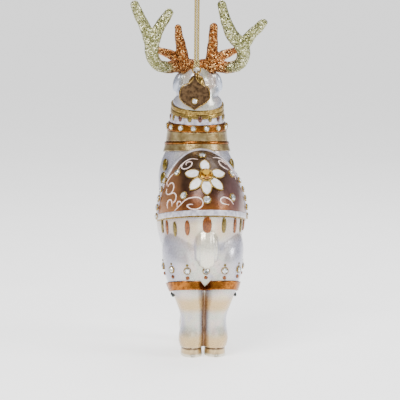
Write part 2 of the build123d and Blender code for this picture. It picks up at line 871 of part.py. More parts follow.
# ---------------------------------------------------------------- all of it
def all_pieces():
    yield "glass_body", glass_body()
    yield "hooves", hooves()
    yield "eyes", eyes()
    yield "nose", nose()
    yield "left_antler", antler((BEAM, LEFT_OUTER, LEFT_INNER, UPRIGHT, BROW), -1)
    yield "right_antler", antler((RIGHT_BEAM, RIGHT_OUTER, RIGHT_INNER, RIGHT_UPRIGHT, BROW), 1)
    yield "cord_loop", cord_loop()
    yield "cord_hitch", cord_hitch()
    yield "jump_ring", jump_ring()
    yield "ornament_cap", ornament_cap()
    yield "cap_wire", cap_wire()
    yield "hang_tag", hang_tag()
    yield "tag_gem", tag_gem()
    yield "tag_setting", tag_setting()
    for name, low, low_tilt, high, high_tilt, thickness in NECK_BANDS:
        yield name, neck_band(low, low_tilt, high, high_tilt, thickness)
    yield "collar_stones", collar_stones(gem)
    yield "collar_settings", collar_stones(setting)
    yield "collar_brown_drops", collar_drops(0)
    yield "collar_olive_drops", collar_drops(1)
    yield "blanket_panel", blanket_layer(BLANKET, BORDER_WIDTH)
    yield "blanket_border", blanket_layer(BORDER, 0.0, BORDER_WIDTH)
    yield "blanket_piping", blanket_layer(BLANKET, -PIPING, 0.0)
    yield "flower_casting", flower_casting()
    yield "flower_petals", flower_petals()
    yield "flower_amber", flower_amber()
    yield "blanket_stones", blanket_stones(gem)
    yield "blanket_settings", blanket_stones(setting)
    yield "trim_stones", trim_stones(gem)
    yield "trim_settings", trim_stones(setting)
    yield "fringe_copper_drops", fringe(True)
    yield "fringe_olive_drops", fringe(False)
    yield "shoulder_drops", shoulder_drops()
    yield "hem_stones", hem_row(gem, HEM_STONE_Z, HEM_STONE)
    yield "hem_settings", hem_row(setting, HEM_STONE_Z, HEM_STONE)
    yield "hem_olive_beads", hem_row(dome, HEM_STONE_Z + HEM_BEAD_RISE, HEM_BEAD)
    yield "hem_copper_dots", hem_row(dome, HEM_STONE_Z - HEM_DOT_DROP, HEM_DOT)
    yield "hind_garter", garter(HIND_LEG, GARTER_MIDDLE, GARTER_TILT, GARTER_HALF)
    yield "front_garter", garter(FRONT_LEG, FRONT_GARTER_MIDDLE, 0, FRONT_GARTER_HALF)
    yield "garter_beads", garter_beads()


os.makedirs("parts", exist_ok=True)
for name, piece in all_pieces():
    save(piece, name)
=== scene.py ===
"""The looks of a jewelled blown-glass reindeer ornament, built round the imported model.

Shapes are drawn in millimetres as the figure stands: soles at height 0, nose towards +Y, the
middle at X = 0. TO_ROW moves each finished mesh into the frame, whose origin is where a hook
holds the cord.
"""
import json
import random
from math import cos, pi, radians, sin, sqrt

import bmesh
import bpy
from mathutils import Matrix, Quaternion, Vector
from mathutils.noise import noise


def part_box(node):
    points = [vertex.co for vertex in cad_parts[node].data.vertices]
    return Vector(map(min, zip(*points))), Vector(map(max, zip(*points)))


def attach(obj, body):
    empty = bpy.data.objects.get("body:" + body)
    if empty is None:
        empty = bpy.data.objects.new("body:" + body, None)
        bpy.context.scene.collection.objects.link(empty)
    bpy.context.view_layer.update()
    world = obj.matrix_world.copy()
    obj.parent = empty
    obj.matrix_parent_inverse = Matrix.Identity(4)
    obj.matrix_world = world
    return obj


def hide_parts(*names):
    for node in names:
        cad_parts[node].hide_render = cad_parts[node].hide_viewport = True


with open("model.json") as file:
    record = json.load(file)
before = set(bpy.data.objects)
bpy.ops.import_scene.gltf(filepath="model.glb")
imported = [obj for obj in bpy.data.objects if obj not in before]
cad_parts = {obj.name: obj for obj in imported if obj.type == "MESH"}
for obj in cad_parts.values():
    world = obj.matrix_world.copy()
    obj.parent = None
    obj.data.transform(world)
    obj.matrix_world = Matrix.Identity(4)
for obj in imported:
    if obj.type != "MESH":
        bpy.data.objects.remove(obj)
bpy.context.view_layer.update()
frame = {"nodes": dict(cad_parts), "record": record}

HOOK = Vector((-2.2, -1.5, 180.9))  # where the hook holds the cord, as the figure stands
TO_ROW = Matrix.Scale(0.001, 4) @ Matrix.Translation(-HOOK)
TO_STANDING = TO_ROW.inverted()
SIDES = (-1, 1)

# The view: from behind and a little above, slightly to one side.
VIEW_AZIMUTH = -5.8
VIEW_RISE = 8.0
VIEW_ROLL = 0.5
VIEW_DISTANCE = 0.95
VIEW_WIDTH = 0.1937  # what the picture spans at the figure, in metres
VIEW_MIDDLE = (0.17, 0.0, 71.6)
FLOOR_HALF = 9.0  # half the floor's width, in metres
WALL_LIGHT = 0.34  # how strongly the pale surroundings light the figure
WALL_SEEN = 1.7  # how bright they look behind it

# The figure, as in the CAD: X, Y, Z, half width, half depth, forward tilt in degrees.
BARREL_CENTRE = (0.0, -3.0, 65.0)
BARREL = (21.2, 33.0, 31.0)
HAUNCH_CENTRE = (0.0, -17.0, 50.0)
HAUNCH = (19.6, 17.4, 20.6)
HIND_LEG = [
    (5.6, -21.6, 4.0, 5.3, 6.6, 0),
    (5.9, -22.4, 8.6, 6.0, 7.3, 0),
    (5.5, -22.6, 18.0, 5.4, 6.3, 0),
    (6.7, -23.6, 26.5, 6.7, 9.0, 4),
    (7.9, -20.6, 33.5, 8.6, 12.4, 8),
    (8.8, -18.2, 40.0, 9.6, 14.8, 4),
    (9.1, -15.6, 50.0, 10.3, 16.6, 0),
    (8.5, -11.0, 64.0, 9.8, 15.0, 0),
]
FRONT_LEG = [
    (4.0, 13.6, 4.0, 3.7, 4.8, 0),
    (4.2, 13.0, 8.6, 4.1, 5.2, 0),
    (3.9, 12.6, 17.0, 3.7, 4.2, 0),
    (4.4, 13.4, 26.0, 4.4, 5.2, 0),
    (5.6, 12.4, 34.0, 5.6, 7.2, 0),
    (6.6, 11.0, 44.0, 7.2, 9.8, 0),
    (6.8, 9.0, 60.0, 9.0, 13.0, 0),
]
NECK = [
    (0.0, 13.0, 72.0, 18.6, 16.0, 14),
    (0.0, 14.6, 82.0, 18.9, 16.8, 12),
    (0.0, 15.8, 89.0, 17.5, 16.8, 10),
    (0.0, 16.3, 93.5, 15.6, 16.4, 8),
    (0.0, 16.6, 99.0, 14.4, 15.4, 5),
    (0.0, 16.2, 106.0, 13.5, 14.4, 0),
    (0.0, 15.2, 113.0, 12.1, 12.8, -8),
    (0.0, 14.4, 119.0, 11.9, 12.2, -10),
    (0.0, 15.4, 126.0, 9.8, 10.6, -4),
]
# The muzzle: X, Y, Z, half width, half height.
MUZZLE = [
    (0.0, 21.0, 128.0, 8.0, 8.6),
    (0.0, 29.0, 124.6, 6.6, 7.0),
    (0.0, 36.0, 121.6, 4.9, 5.0),
    (0.0, 41.0, 119.6, 4.6, 4.3),
]
NOSE_DEPTH = 3.6
CRANIUM_CENTRE = (0.0, 19.5, 127.5)
CRANIUM = (9.4, 11.0, 9.6)
TAIL_CENTRE = (0.0, -34.4, 53.5)
TAIL = (5.9, 4.8, 9.9)
EAR_CENTRE = (9.6, 14.5, 127.4)
EAR = (2.5, 3.0, 5.4)
EYE_CENTRE = (6.9, 27.2, 129.6)
SKIN_VOXEL = 0.55
SKIN_ROUNDS = 10
ANTLER_VOXEL = 0.36
ANTLER_ROUNDS = 5
GRAIN = 0.06  # how far glitter stands out or sinks in
GLITTER = 2.3  # cells of glitter to a millimetre

# Antler branches: X, Y, Z and radius at each point, on the animal's right-hand side.
BEAM = [
    (2.4, 15.8, 135.4, 3.5),
    (8.6, 13.6, 135.8, 3.4),
    (15.2, 8.6, 135.2, 3.0),
    (20.6, 3.4, 137.0, 3.0),
    (23.4, 0.4, 142.0, 3.3),
    (23.8, -0.6, 149.0, 3.7),
]
LEFT_OUTER = [
    (23.8, -0.6, 147.5, 3.5),
    (27.0, -1.0, 155.0, 2.7),
    (30.0, -1.2, 161.0, 2.5),
    (32.0, -1.0, 165.8, 2.1),
]
LEFT_INNER = [
    (23.4, -0.6, 147.5, 3.3),
    (20.6, 0.0, 154.0, 2.9),
    (17.4, 0.6, 159.0, 2.6),
    (15.4, 1.0, 162.0, 2.1),
]
RIGHT_BEAM = BEAM[:3] + [(19.6, 4.0, 137.6, 3.0), (20.6, 0.6, 142.0, 3.3), (19.8, -0.4, 147.5, 3.6)]
RIGHT_OUTER = [
    (20.0, -0.4, 146.5, 3.4),
    (24.0, -0.8, 151.4, 2.7),
    (27.6, -0.8, 155.0, 2.4),
    (30.2, -0.6, 157.4, 2.0),
]
RIGHT_INNER = [
    (19.4, -0.4, 146.5, 3.5),
    (14.2, 0.0, 152.6, 3.1),
    (11.4, 0.4, 160.0, 2.6),
    (9.9, 0.6, 165.9, 2.1),
]
UPRIGHT = [
    (7.2, 14.6, 134.6, 3.4),
    (8.0, 14.0, 143.0, 2.9),
    (9.3, 13.4, 149.6, 2.2),
    (9.9, 13.0, 154.0, 1.8),
]
RIGHT_UPRIGHT = [
    (6.6, 14.8, 134.6, 3.4),
    (7.0, 14.4, 143.0, 2.9),
    (7.3, 13.8, 150.0, 2.4),
    (7.4, 13.4, 154.6, 2.1),
]
BROW = [
    (8.4, 14.4, 138.0, 2.7),
    (13.4, 16.6, 141.0, 2.4),
    (18.4, 19.4, 142.6, 1.8),
    (21.4, 21.2, 144.6, 1.5),
]

SCROLL = 0.3  # radius of the poured lines
SCROLL_LIFT = 0.06  # from the panel's face to a line's middle
CURL_STEP = 40  # degrees from point to point of a curl

# How deep the glass is pressed in at each feature.
EAR_CUP = 1.3
HEAD_NOTCH = 1.1
MOUTH_CREASE = 0.5
TAIL_STRAND = 0.22
PASTERN_CREASE = 0.5
HOOF_CLEFT = 0.7

# Stone settings: the cup's wire and rim wire, and the claws.
CUP_WIRE = 0.24
RIM_WIRE = 0.14
CLAW = 0.2

# The cord's route in the frame, in metres: up one strand, over the hook and down the other.
CORD_ROUTE = [
    (-0.00068, 0.0, -0.0437),
    (-0.00068, 0.0, -0.0160),
    (-0.00068, 0.0, -0.0099),
    (-0.0035, 0.0, -0.0044),
    (-0.0035, 0.0, 0.0006),
    (0.0035, 0.0, 0.0006),
    (0.0035, 0.0, -0.0044),
    (0.00068, 0.0, -0.0099),
    (0.00068, 0.0, -0.0160),
    (0.00068, 0.0, -0.0437),
]
CORD = 0.0012
RING_Z = 134.8
RING = 1.9
HITCH_TURN = 0.62  # radius of each turn of cord round the ring
HITCH_YARN = 0.42
HITCH_BAR = 0.4
TAG_RIM = 0.24
TAG_FACE = 0.56  # from the tag's middle plane to its face

BLANKET = 0.6  # thickness of the blanket's panel


# ---------------------------------------------------------------- camera, lights and floor
def row(x, y, z):
    return TO_ROW @ Vector((x, y, z))


def link(name, data):
    thing = bpy.data.objects.new(name, data)
    bpy.context.scene.collection.objects.link(thing)
    return thing


def direction(azimuth, rise):
    """The unit vector towards a viewer who looks along +Y at azimuth 0."""
    a, e = radians(azimuth), radians(rise)
    return Vector((sin(a) * cos(e), -cos(a) * cos(e), sin(e)))


def camera():
    data = bpy.data.cameras.new("camera")
    data.sensor_width = 36.0
    data.lens = data.sensor_width * VIEW_DISTANCE / VIEW_WIDTH
    data.clip_start = 0.01
    back = direction(VIEW_AZIMUTH, VIEW_RISE)
    eye = link("camera", data)
    eye.location = row(*VIEW_MIDDLE) + back * VIEW_DISTANCE
    eye.rotation_mode = "QUATERNION"
    roll = Quaternion((0, 0, 1), radians(VIEW_ROLL))
    eye.rotation_quaternion = back.to_track_quat("Z", "Y") @ roll
    bpy.context.scene.camera = eye


def softbox(name, azimuth, rise, distance, size, power, colour=(1, 1, 1)):
    data = bpy.data.lights.new(name, "AREA")
    data.shape = "SQUARE"
    data.size = size
    data.energy = power
    data.color = colour
    lamp = link(name, data)
    away = direction(azimuth, rise)
    lamp.location = row(*VIEW_MIDDLE) + away * distance
    lamp.rotation_mode = "QUATERNION"
    lamp.rotation_quaternion = away.to_track_quat("Z", "Y")


def studio():
    softbox("key", -34, 46, 0.62, 0.30, 4.6, (1.0, 0.98, 0.95))
    softbox("side", 66, 24, 0.66, 0.26, 3.0, (0.95, 0.97, 1.0))
    softbox("crown", 150, 66, 0.62, 0.40, 3.0)
    surroundings()
    grid = bmesh.new()
    bmesh.ops.create_grid(grid, x_segments=4, y_segments=4, size=FLOOR_HALF)
    mesh = bpy.data.meshes.new("floor")
    grid.to_mesh(mesh)
    grid.free()
    floor = link("floor", mesh)
    floor.location = (0, 0, -HOOK.z * 0.001 - 0.0002)
    mesh.materials.append(pale_floor())


def surroundings():
    """A pale even wall all round, seen brighter than the light it throws."""
    world = bpy.data.worlds.new("studio")
    world.use_nodes = True
    nodes = world.node_tree.nodes
    nodes["Background"].inputs["Color"].default_value = (1.0, 1.0, 1.0, 1)
    seen = nodes.new("ShaderNodeMath")
    seen.operation = "MULTIPLY_ADD"
    seen.inputs[1].default_value = WALL_SEEN - WALL_LIGHT
    seen.inputs[2].default_value = WALL_LIGHT
    world.node_tree.links.new(nodes.new("ShaderNodeLightPath").outputs["Is Camera Ray"], seen.inputs[0])
    world.node_tree.links.new(seen.outputs[0], nodes["Background"].inputs["Strength"])
    bpy.context.scene.world = world


# ---------------------------------------------------------------- materials
class Paint:
    """A node material with a Principled shader, and short names for the nodes it uses."""

    def __init__(self, name, **inputs):
        self.material = bpy.data.materials.new(name)
        self.material.use_nodes = True
        self.tree = self.material.node_tree
        self.shader = self.tree.nodes["Principled BSDF"]
        for key, value in inputs.items():
            self.set(key.replace("_", " "), value)
        self._standing = None

    def set(self, socket, value):
        names = {key.lower(): key for key in self.shader.inputs.keys()}
        target = self.shader.inputs[names[socket.lower()]]
        if isinstance(value, bpy.types.NodeSocket):
            self.tree.links.new(value, target)
        elif isinstance(value, tuple) and len(value) == 3 and target.type == "RGBA":
            target.default_value = (*value, 1.0)
        else:
            target.default_value = value

    def node(self, kind, values=(), **settings):
        made = self.tree.nodes.new("ShaderNode" + kind)
        for key, value in settings.items():
            setattr(made, key, value)
        for socket, value in values:
            target = made.inputs[socket]
            if isinstance(value, bpy.types.NodeSocket):
                self.tree.links.new(value, target)
            elif isinstance(value, tuple) and len(value) == 3 and target.type == "RGBA":
                target.default_value = (*value, 1.0)
            else:
                target.default_value = value
        return made

    def standing(self):
        """The point in millimetres, as the figure stands."""
        if self._standing is None:
            place = self.node("TexCoord").outputs["Object"]
            moved = self.node(
                "VectorMath",
                [(0, place), (1, (1000, 1000, 1000)), (2, tuple(HOOK))],
                operation="MULTIPLY_ADD",
            )
            self._standing = moved.outputs[0]
        return self._standing

    def along(self, axis):
        split = self.node("SeparateXYZ", [(0, self.standing())])
        return split.outputs[axis]

    def noise(self, scale, detail=3.0, roughness=0.5):
        made = self.node(
            "TexNoise",
            [("Vector", self.standing()), ("Scale", scale), ("Detail", detail), ("Roughness", roughness)],
        )
        return made.outputs["Fac"]

    def cells(self, scale):
        """A random colour for each Voronoi cell."""
        return self.node("TexVoronoi", [("Vector", self.standing()), ("Scale", scale)]).outputs["Color"]

    def math(self, operation, first, second=0.0, clamp=False):
        made = self.node("Math", [(0, first), (1, second)], operation=operation, use_clamp=clamp)
        return made.outputs[0]

    def span(self, value, low, high, to_low=0.0, to_high=1.0):
        values = [("Value", value), ("From Min", low), ("From Max", high)]
        values += [("To Min", to_low), ("To Max", to_high)]
        return self.node("MapRange", values, interpolation_type="SMOOTHSTEP").outputs["Result"]

    def ramp(self, value, stops):
        made = self.node("ValToRGB", [(0, value)])
        line = made.color_ramp.elements
        while len(line) < len(stops):
            line.new(0.5)
        for element, (place, colour) in zip(line, stops):
            element.position = place
            element.color = (*colour, 1.0)
        return made.outputs["Color"]

    def mix(self, share, first, second):
        made = self.node("Mix", data_type="RGBA")
        for socket, value in ((0, share), (6, first), (7, second)):
            target = made.inputs[socket]
            if isinstance(value, bpy.types.NodeSocket):
                self.tree.links.new(value, target)
            else:
                target.default_value = (*value, 1.0) if isinstance(value, tuple) else value
        return made.outputs[2]

    def bump(self, height, depth, strength=1.0):
        """Relief of a given depth in metres."""
        made = self.node("Bump", [("Strength", strength), ("Distance", depth), ("Height", height)])
        self.set("Normal", made.outputs["Normal"])

    def sparkle(self, scale, amount):
        """Each cell of glitter faces its own way."""
        colour = self.cells(scale)
        lean = self.node("VectorMath", [(0, colour), (1, (0.5, 0.5, 0.5))], operation="SUBTRACT")
        lean = self.node("VectorMath", [(0, lean.outputs[0]), ("Scale", amount)], operation="SCALE")
        normal = self.node("NewGeometry").outputs["Normal"]
        total = self.node("VectorMath", [(0, normal), (1, lean.outputs[0])], operation="ADD")
        unit = self.node("VectorMath", [(0, total.outputs[0])], operation="NORMALIZE")
        self.set("Normal", unit.outputs[0])


def pale_floor():
    paint = Paint("pale_floor", roughness=0.75, emission_color=(1.0, 1.0, 1.0), emission_strength=1.2)
    cloud = paint.noise(0.02, 2.0)
    paint.set("Base Color", paint.ramp(cloud, [(0.3, (0.90, 0.90, 0.91)), (0.7, (0.95, 0.95, 0.95))]))
    return paint.material


def pearl_glass():
    """Pearl lacquer over silvered glass, with champagne tints low on the legs and just under the blanket,
    painted shade on the flanks, on sideways-facing surfaces and in the crease between the legs, and a painted
    highlight on the middle of the rear and tail.
    """
    paint = Paint("pearl_glass", metallic=0.4, coat_weight=0.6, coat_roughness=0.1)
    cloud = paint.noise(0.11, 3.0)
    pearl = paint.ramp(cloud, [
        (0.3, (0.42, 0.41, 0.46)),
        (0.43, (0.56, 0.52, 0.43)),
        (0.52, (0.52, 0.54, 0.46)),
        (0.6, (0.62, 0.52, 0.48)),
        (0.72, (0.66, 0.58, 0.40)),
    ])
    side = paint.math("ABSOLUTE", paint.along(0))
    # Painted shade: a darker lilac-grey on the flanks, from above the hocks upwards.
    flank_shade = paint.math("MULTIPLY", paint.span(side, 4.0, 15.0), paint.span(paint.along(2), 30.0, 42.0))
    pearl = paint.mix(paint.math("MULTIPLY", flank_shade, 0.75), pearl, (0.46, 0.44, 0.54))
    # Painted shade: surfaces whose normal points sideways are darkened towards lilac-grey.
    turned = paint.node("SeparateXYZ", [(0, paint.node("TexCoord").outputs["Normal"])]).outputs[0]
    rim = paint.span(paint.math("ABSOLUTE", turned), 0.5, 1.0)
    pearl = paint.mix(paint.math("MULTIPLY", rim, 0.8), pearl, (0.30, 0.30, 0.40))
    height = paint.math("ADD", paint.along(2), paint.math("MULTIPLY", cloud, 3.0))
    hock = paint.math("MULTIPLY", paint.span(height, 33.5, 28.5), paint.span(height, 22.0, 26.0))
    fetlock = paint.math("MULTIPLY", paint.span(height, 15.0, 10.0), paint.span(height, 4.0, 7.0))
    fringe = paint.math("MULTIPLY", paint.span(height, 56.0, 62.0), paint.span(height, 70.0, 66.0))
    tint = paint.math("MAXIMUM", paint.math("MAXIMUM", hock, fetlock), paint.math("MULTIPLY", fringe, 0.55))
    skin = paint.mix(paint.math("MULTIPLY", tint, 0.8), pearl, (0.54, 0.34, 0.10))
    # Painted highlight: pale cream down the middle of the rearmost surfaces, the tail and the back of the
    # haunch.
    rear_highlight = paint.math("MULTIPLY", paint.span(side, 6.5, 1.5), paint.span(paint.along(1), -33.0, -36.0))
    skin = paint.mix(paint.math("MULTIPLY", rear_highlight, 0.6), skin, (0.92, 0.88, 0.72))
    ear = paint.math("MULTIPLY", paint.span(paint.along(2), 121.0, 124.0), paint.span(side, 7.5, 9.5))
    skin = paint.mix(paint.math("MULTIPLY", ear, 0.7), skin, (0.42, 0.48, 0.60))
    # Painted shade: dark brown down the middle line between the left and right legs, below about the hocks.
    crease = paint.span(side, 1.9, 0.3)
    low = paint.math("MULTIPLY", crease, paint.span(paint.along(2), 34.0, 27.0))
    skin = paint.mix(paint.math("MULTIPLY", low, 0.9), skin, (0.20, 0.09, 0.03))
    paint.set("Base Color", skin)
    paint.set("Roughness", paint.span(paint.noise(0.9), 0.3, 0.7, 0.2, 0.34))
    fine = paint.noise(2.2, 2.0)
    paint.bump(fine, 0.00006, 0.5)
    return paint.material


def antler_glitter():
    """Glitter: champagne-green on the crowns, copper on the brow and root branches."""
    paint = Paint("antler_glitter", metallic=0.85, roughness=0.3)
    colour = paint.cells(GLITTER)
    shade = paint.node("SeparateColor", [(0, colour)])
    pick = shade.outputs[0]
    crown = paint.ramp(pick, [
        (0.0, (0.05, 0.05, 0.01)),
        (0.3, (0.17, 0.17, 0.06)),
        (0.75, (0.30, 0.29, 0.13)),
        (0.95, (0.9, 0.88, 0.6)),
    ])
    root = paint.ramp(pick, [
        (0.0, (0.05, 0.012, 0.003)),
        (0.3, (0.17, 0.05, 0.008)),
        (0.75, (0.32, 0.11, 0.02)),
        (0.95, (0.95, 0.58, 0.24)),
    ])
    edge = paint.math("ADD", paint.along(1), paint.math("MULTIPLY", paint.noise(0.5), 4.0))
    paint.set("Base Color", paint.mix(paint.span(edge, 7.0, 10.5), crown, root))
    paint.set("Roughness", paint.span(shade.outputs[1], 0.0, 1.0, 0.14, 0.5))
    paint.sparkle(GLITTER, 0.8)
    return paint.material


def metal(name, colour, dark, roughness=0.2, patina=0.35, scale=0.8):
    """Lacquered metal paint or cast metal that darkens in patches."""
    paint = Paint(name, metallic=1.0)
    patch = paint.noise(scale, 5.0, 0.6)
    paint.set("Base Color", paint.mix(paint.span(patch, 0.62, 0.36, 0.0, patina), colour, dark))
    paint.set("Roughness", paint.span(patch, 0.3, 0.7, roughness + 0.16, roughness))
    paint.bump(paint.noise(scale * 3.0, 3.0), 0.00005, 0.6)
    return paint.material


def satin_champagne():
    """Satin lacquer with a fine brushed sparkle."""
    paint = Paint("satin_champagne", metallic=0.75, coat_weight=0.3)
    streak = paint.noise(0.25, 4.0)
    paint.set("Base Color", paint.ramp(streak, [
        (0.3, (0.16, 0.09, 0.025)), (0.5, (0.28, 0.20, 0.08)), (0.7, (0.44, 0.34, 0.17)),
    ]))
    paint.set("Roughness", 0.34)
    paint.sparkle(5.0, 0.22)
    return paint.material


def enamel(name, light, shade, metallic=0.1):
    paint = Paint(name, metallic=metallic, coat_weight=0.7, coat_roughness=0.1)
    cloud = paint.noise(0.5, 4.0)
    paint.set("Base Color", paint.mix(paint.span(cloud, 0.35, 0.65), shade, light))
    paint.set("Roughness", 0.34)
    paint.bump(paint.noise(1.6, 3.0), 0.0001, 0.5)
    return paint.material


def chocolate_copper():
    """The blanket: chocolate round the flower, copper low down and to the left, a painted pinkish sheen to the
    right, paler at its edges.
    """
    paint = Paint("chocolate_copper", metallic=0.7, coat_weight=0.25, coat_roughness=0.2)
    cloud = paint.noise(0.16, 4.0)
    height = paint.math("ADD", paint.along(2), paint.math("MULTIPLY", cloud, 10.0))
    base = paint.ramp(paint.span(height, 68.0, 98.0), [
        (0.0, (0.30, 0.10, 0.008)),
        (0.3, (0.14, 0.04, 0.006)),
        (0.55, (0.045, 0.013, 0.005)),
        (1.0, (0.05, 0.02, 0.004)),
    ])
    side = paint.math("ADD", paint.along(0), paint.math("MULTIPLY", cloud, 5.0))
    base = paint.mix(paint.span(side, -7.0, -12.0, 0.0, 0.7), base, (0.40, 0.17, 0.06))
    # Painted sheen: a pinkish brown mixed in on the right-hand side.
    base = paint.mix(paint.span(side, 10.0, 16.0, 0.0, 0.6), base, (0.20, 0.10, 0.10))
    edge = paint.span(paint.math("ABSOLUTE", side), 18.5, 22.0, 0.0, 0.7)
    base = paint.mix(edge, base, (0.52, 0.40, 0.40))
    paint.set("Base Color", base)
    paint.set("Roughness", paint.span(paint.noise(0.7), 0.3, 0.7, 0.3, 0.46))
    paint.sparkle(6.0, 0.14)
    return paint.material


def crystal(name, stops, metallic=0.55):
    """Foil-backed stones: every face of the cut gets its own painted brightness, painted dark reflections and
    glints over the stone's colour.
    """
    paint = Paint(name, metallic=metallic, roughness=0.08, coat_weight=0.3, coat_roughness=0.03)
    facet_glint = paint.node("Attribute", attribute_name="facet_glint").outputs["Fac"]
    paint.set("Base Color", paint.ramp(facet_glint, stops))
    return paint.material


def drop_gloss(name, colour, dark):
    paint = Paint(name, metallic=0.5, coat_weight=0.4, coat_roughness=0.08)
    cloud = paint.noise(1.1, 3.0)
    paint.set("Base Color", paint.mix(paint.span(cloud, 0.35, 0.65), dark, colour))
    paint.set("Roughness", 0.28)
    paint.sparkle(4.0, 0.2)
    return paint.material


def hoof_gold():
    """A pale sole rim, champagne gold above it and a dark line at the top."""
    paint = Paint("hoof_gold", metallic=0.7, coat_weight=0.5)
    height = paint.math("ADD", paint.along(2), paint.math("MULTIPLY", paint.noise(0.8), 0.5))
    paint.set("Base Color", paint.ramp(paint.span(height, 0.0, 6.0), [
        (0.10, (0.70, 0.66, 0.54)),
        (0.24, (0.52, 0.38, 0.20)),
        (0.62, (0.60, 0.44, 0.22)),
        (0.78, (0.10, 0.05, 0.02)),
    ]))
    paint.set("Roughness", 0.3)
    paint.sparkle(5.0, 0.15)
    return paint.material


def gold_cord():
    """Twisted metallic yarn: slanting strands across a round cord, with painted shade between the strands and a
    painted highlight on their crowns.
    """
    paint = Paint("gold_cord", metallic=0.55, roughness=0.42, sheen_weight=0.3)
    rise = paint.math("MULTIPLY", paint.along(2), 5.2)
    slant = paint.math("ADD", rise, paint.math("MULTIPLY", paint.along(0), 5.6))
    strand = paint.math("SINE", slant)
    fibre = paint.noise(7.0, 2.0)
    # Painted shade in the grooves between strands and painted highlight on their crowns, broken by fibre noise.
    lit = paint.math("ADD", paint.math("MULTIPLY", strand, 0.5), fibre)
    paint.set("Base Color", paint.ramp(lit, [
        (0.15, (0.08, 0.05, 0.01)), (0.5, (0.32, 0.22, 0.05)), (0.9, (0.62, 0.48, 0.16)),
    ]))
    paint.bump(strand, 0.00012, 0.9)
    return paint.material


def black_gloss():
    paint = Paint("black_gloss", roughness=0.12, coat_weight=1.0, coat_roughness=0.03)
    cloud = paint.noise(1.5, 2.0)
    paint.set("Base Color", paint.ramp(cloud, [(0.4, (0.008, 0.006, 0.006)), (0.7, (0.03, 0.02, 0.018))]))
    return paint.material


def all_paints():
    # Ramps for the stones' faces: the darkest and brightest stops are painted dark reflections and glints.
    clear = [
        (0.0, (0.04, 0.05, 0.05)),
        (0.3, (0.30, 0.36, 0.34)),
        (0.6, (0.66, 0.68, 0.74)),
        (0.9, (1.0, 0.98, 0.96)),
    ]
    amber = [
        (0.0, (0.07, 0.02, 0.0)),
        (0.4, (0.22, 0.08, 0.002)),
        (0.7, (0.46, 0.19, 0.005)),
        (0.95, (0.9, 0.52, 0.06)),
    ]
    return {
        "pearl_glass": pearl_glass(),
        "antler_glitter": antler_glitter(),
        "hoof_gold": hoof_gold(),
        "black_gloss": black_gloss(),
        "gold_cord": gold_cord(),
        "brass_wire": metal("brass_wire", (0.34, 0.22, 0.07), (0.12, 0.07, 0.02), 0.2, 0.7, 1.6),
        "cap_gold": metal("cap_gold", (0.42, 0.28, 0.08), (0.12, 0.07, 0.02), 0.22, 0.8, 1.2),
        "tag_brass": metal("tag_brass", (0.15, 0.09, 0.045), (0.04, 0.022, 0.012), 0.34, 0.9, 0.7),
        "clear_crystal": crystal("clear_crystal", clear),
        "amber_crystal": crystal("amber_crystal", amber),
        "satin_champagne": satin_champagne(),
        "copper_paint": metal("copper_paint", (0.34, 0.12, 0.02), (0.12, 0.035, 0.008), 0.18, 0.8, 0.5),
        "lilac_enamel": enamel("lilac_enamel", (0.60, 0.58, 0.64), (0.34, 0.32, 0.38)),
        "white_enamel": enamel("white_enamel", (0.86, 0.85, 0.86), (0.70, 0.68, 0.70), 0.0),
        "gold_paint": metal("gold_paint", (0.42, 0.28, 0.08), (0.14, 0.08, 0.02), 0.24, 0.8, 1.0),
        "brown_drop": drop_gloss("brown_drop", (0.12, 0.035, 0.01), (0.04, 0.012, 0.005)),
        "olive_drop": drop_gloss("olive_drop", (0.20, 0.13, 0.004), (0.07, 0.045, 0.002)),
        "copper_drop": drop_gloss("copper_drop", (0.26, 0.075, 0.008), (0.10, 0.025, 0.003)),
        "chocolate_copper": chocolate_copper(),
    }


# ---------------------------------------------------------------- shapes
def through(stations, steps):
    """Rows of numbers, with Catmull-Rom rows between them."""
    rows = []
    padded = [stations[0]] + list(stations) + [stations[-1]]
    for a, b, c, d in zip(padded, padded[1:], padded[2:], padded[3:]):
        for step in range(steps):
            t = step / steps
            rows.append(tuple(
                0.5 * (
                    2 * q + (r - p) * t
                    + (2 * p - 5 * q + 4 * r - s) * t * t
                    + (3 * q - p - 3 * r + s) * t**3
                )
                for p, q, r, s in zip(a, b, c, d)
            ))
    rows.append(tuple(stations[-1]))
    return rows


def lofted(bm, rings, closed=False):
    """Faces between rings of as many corners, with a flat end on each side unless it closes."""
    loops = [[bm.verts.new(corner) for corner in ring] for ring in rings]
    pairs = list(zip(loops, loops[1:]))
    if closed:
        pairs.append((loops[-1], loops[0]))
    for low, high in pairs:
        for i in range(len(low)):
            j = (i + 1) % len(low)
            bm.faces.new((low[i], low[j], high[j], high[i]))
    if not closed:
        bm.faces.new(list(reversed(loops[0])))
        bm.faces.new(loops[-1])


def ellipse(centre, across, along, corners):
    turns = [2 * pi * i / corners for i in range(corners)]
    return [Vector(centre) + across * cos(turn) + along * sin(turn) for turn in turns]


def ellipsoid(bm, centre, radii, tilt=(0, 0, 0)):
    x, y, z = (Matrix.Rotation(radians(angle), 4, axis) for angle, axis in zip(tilt, "XYZ"))
    matrix = Matrix.Translation(Vector(centre)) @ x @ y @ z @ Matrix.Diagonal((*radii, 1.0))
    bmesh.ops.create_uvsphere(bm, u_segments=40, v_segments=24, radius=1.0, matrix=matrix)


def limb(bm, stations, side=1):
    rings = []
    for x, y, z, half_width, half_depth, tilt in through(stations, 6):
        along = Vector((0, cos(radians(tilt)), -sin(radians(tilt))))
        rings.append(ellipse((side * x, y, z), Vector((half_width, 0, 0)), half_depth * along, 40))
    lofted(bm, rings)


